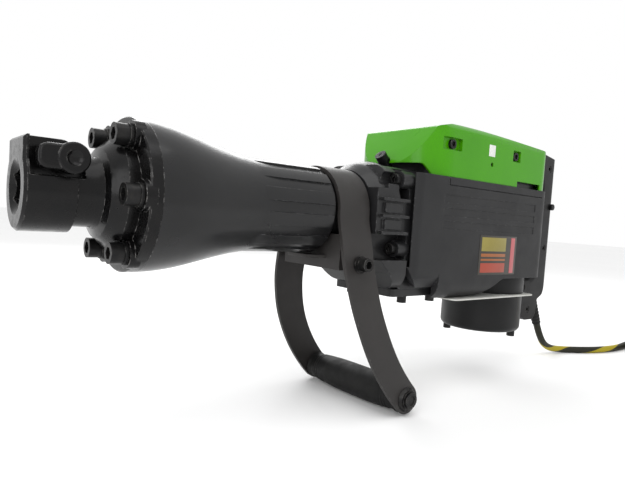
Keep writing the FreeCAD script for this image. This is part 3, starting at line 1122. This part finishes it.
def side_grip():
    half = ARM_END_Y - STRAP_THICK - 0.6
    centre = V(SIDE_GRIP_X, 0, -SIDE_GRIP_DROP)
    body = rod(SIDE_GRIP_R - 1.2, centre - Y * half, centre + Y * half)
    bands = [tube(SIDE_GRIP_R, GRIP_ROD_R + 5, centre + Y * y, centre + Y * (y + 3.5))
             for y in [-half + 5 * i for i in range(5)] + [half - 3.5 - 5 * i for i in range(5)]]
    bands.append(rod(SIDE_GRIP_R, centre - Y * (half - 27), centre + Y * (half - 27)))
    body = fused([body] + bands)
    return body.cut(rod(GRIP_ROD_R + SEAT_GAP, centre - Y * 90, centre + Y * 90))


def grip_rod():
    centre = V(SIDE_GRIP_X, 0, -SIDE_GRIP_DROP)
    return rod(GRIP_ROD_R, centre - Y * (ARM_END_Y + 6), centre + Y * (ARM_END_Y + 6))


def grip_nuts():
    """Dished end washer and dome nut at each end of the grip's rod."""
    pieces = []
    for side in (-1, 1):
        at = V(SIDE_GRIP_X, side * (ARM_END_Y + 0.3), -SIDE_GRIP_DROP)
        out = Y * side
        cap = cone(12.0, 10.0, at, at + out * 3).fuse(rod(8.0, at + out * 3, at + out * 6.5))
        pieces.append(cap.cut(rod(GRIP_ROD_R + SEAT_GAP, at - out, at + out * 12)))
    return Part.makeCompound(pieces)


def grip_clips():
    """Bright snap ring on each end nut."""
    rings = []
    for side in (-1, 1):
        at = V(SIDE_GRIP_X, side * (ARM_END_Y + 3.4), -SIDE_GRIP_DROP)
        rings.append(tube(9.6, 8.05, at, at + Y * side * 1.6))
    return Part.makeCompound(rings)


# ---------- cord ----------
def cord_guard():
    start, end = V(*GUARD_TOP), V(*GUARD_TIP)
    run = (end - start).normalize()
    return fused([cone(GUARD_TOP_R, GUARD_TIP_R, start, end),
                  rod(GUARD_TOP_R, start, start + run * 14)])


def rounded_path(points):
    """Straight runs joined by tangent arcs, each as large as its two runs allow."""
    spots = [V(*p) for p in points]
    edges, start, length, radii = [], spots[0], 0.0, []
    for a, corner, b in zip(spots, spots[1:], spots[2:]):
        back, ahead = (a - corner), (b - corner)
        reach = 0.45 * min(back.Length, ahead.Length)
        half_turn = (pi - back.getAngle(ahead)) / 2
        radius = reach / tan(half_turn)
        radii.append(radius)
        u, w = V(back).normalize(), V(ahead).normalize()
        first, last = corner + u * reach, corner + w * reach
        bisector = V(u + w).normalize()
        middle = corner + bisector * (radius / cos(half_turn) - radius)
        edges += [Part.LineSegment(start, first).toShape(), Part.Arc(first, middle, last).toShape()]
        length += (first - start).Length + radius * 2 * half_turn
        start = last
    edges.append(Part.LineSegment(start, spots[-1]).toShape())
    length += (spots[-1] - start).Length
    print("   arc radii", [round(r) for r in radii], "length", round(length))
    return Part.Wire(edges), length


def cord_tube(points):
    path, length = rounded_path(points)
    start = V(*points[0])
    along = (V(*points[1]) - start).normalize()
    ring = Part.Wire(Part.makeCircle(CORD_R, start, along))
    swept = path.makePipeShell([ring], True, False)
    print("   tube volume / section x length: %.4f" % (swept.Volume / (pi * CORD_R ** 2 * length)))
    return swept


COIL_HALF_WIDTH = COIL_ROWS * CORD_R
COIL_HEIGHT = 2 * CORD_R * COIL_LAYERS
COIL_BASE = V(COIL_CENTRE[0], COIL_CENTRE[1], FLOOR_Z)


def cord_coil():
    ring = tube(COIL_MEAN_R + COIL_HALF_WIDTH, COIL_MEAN_R - COIL_HALF_WIDTH, COIL_BASE,
                COIL_BASE + Z * COIL_HEIGHT)
    return ring.makeFillet(CORD_R * 0.8, ring.Edges)


# The plug lies beside the coil, its lead leaving the outer turn along a tangent.
TAIL_START = (COIL_CENTRE[0], COIL_CENTRE[1] - COIL_MEAN_R - COIL_HALF_WIDTH - CORD_R - AIR_GAP / 2,
              CORD_REST_Z)
PLUG_BACK = (TAIL_START[0] - 79, TAIL_START[1] - 6, FLOOR_Z + PLUG_R + 0.2)
TAIL_ROUTE = [TAIL_START, (TAIL_START[0] - 25, TAIL_START[1] - 1, CORD_REST_Z + 1.3),
              (TAIL_START[0] - 55, TAIL_START[1] - 4, PLUG_BACK[2] - 0.6), PLUG_BACK]


def supply_cord():
    """The cord's two free stretches: machine to coil, and coil to plug."""
    return Part.makeCompound([cord_tube(CORD_ROUTE), cord_tube(TAIL_ROUTE)])


def plug_axis():
    return (V(*TAIL_ROUTE[-1]) - V(*TAIL_ROUTE[-2])).normalize()


def plug_body():
    along = V(plug_axis().x, plug_axis().y, 0).normalize()
    back = V(*PLUG_BACK)
    neck_end = back + along * PLUG_NECK
    body = fused([cone(CORD_R + 2, CORD_R + 6, back, neck_end),
                  cone(PLUG_R - 5, PLUG_R, neck_end, neck_end + along * 8),
                  rod(PLUG_R, neck_end + along * 8, neck_end + along * PLUG_LENGTH)])
    side = along.cross(Z)
    holes = [rod(PLUG_PIN_R, neck_end + along * 10 + side * s,
                 neck_end + along * (PLUG_LENGTH + 1) + side * s)
             for s in (-PLUG_PIN_SPACING / 2, PLUG_PIN_SPACING / 2)]
    return cut_all(body, holes)


def plug_pins():
    along = V(plug_axis().x, plug_axis().y, 0).normalize()
    neck_end = V(*PLUG_BACK) + along * PLUG_NECK
    side = along.cross(Z)
    return Part.makeCompound([rod(PLUG_PIN_R, neck_end + along * 10 + side * s,
                                  neck_end + along * (PLUG_LENGTH + PLUG_PIN_LENGTH) + side * s)
                              for s in (-PLUG_PIN_SPACING / 2, PLUG_PIN_SPACING / 2)])


SUB_PARTS = [
    ("nose_cap", nose_cap), ("nose_washers", nose_washers), ("nose_screws", nose_screws),
    ("retainer_lever", retainer_lever), ("barrel_cover", barrel_cover), ("anvil_guide", anvil_guide),
    ("cylinder_sleeve", cylinder_sleeve), ("anvil", anvil), ("striker", striker),
    ("piston", piston), ("wrist_pin", wrist_pin), ("connecting_rod", connecting_rod),
    ("idler_gear", idler_gear), ("idler_shaft", idler_shaft),
    ("crank_gear", crank_gear), ("crankshaft", crankshaft),
    ("ball_bearings", ball_bearings), ("crank_case", crank_case),
    ("bottom_plate", bottom_plate), ("crank_case_screws", crank_case_screws),
    ("oil_plug", oil_plug), ("gear_case", gear_case), ("gear_case_lid", gear_case_lid),
    ("motor_tube", motor_tube), ("stator", stator), ("field_coils", field_coils),
    ("armature_shaft", armature_shaft), ("armature_core", armature_core), ("commutator", commutator),
    ("cooling_fan", cooling_fan), ("carbon_brushes", carbon_brushes), ("brush_holders", brush_holders),
    ("tail_cap", tail_cap), ("tail_screws", tail_screws), ("housing_left", housing_shell),
    ("housing_right", lambda: mirrored(housing_shell())), ("base_gasket", base_gasket),
    ("top_cover", top_cover), ("cover_screws", cover_screws),
    ("rear_handle_left", lambda: rear_handle_half(-1)), ("rear_handle_right", lambda: rear_handle_half(1)),
    ("handle_screws", handle_screws), ("trigger", trigger), ("trigger_pin", trigger_pin),
    ("switch_block", switch_block), ("lock_button", lock_button), ("side_strap", strap),
    ("clamp_liner", clamp_liner), ("clamp_saddle", clamp_saddle), ("clamp_bolt", clamp_bolt),
    ("clamp_nut_washers", clamp_nut_washers), ("side_grip", side_grip),
    ("grip_rod", grip_rod), ("grip_nuts", grip_nuts), ("grip_clips", grip_clips),
    ("cord_guard", cord_guard), ("supply_cord", supply_cord), ("cord_coil", cord_coil),
    ("plug_body", plug_body), ("plug_pins", plug_pins),
]

os.makedirs("parts", exist_ok=True)
for part_name, make in SUB_PARTS:
    finish(part_name, make())
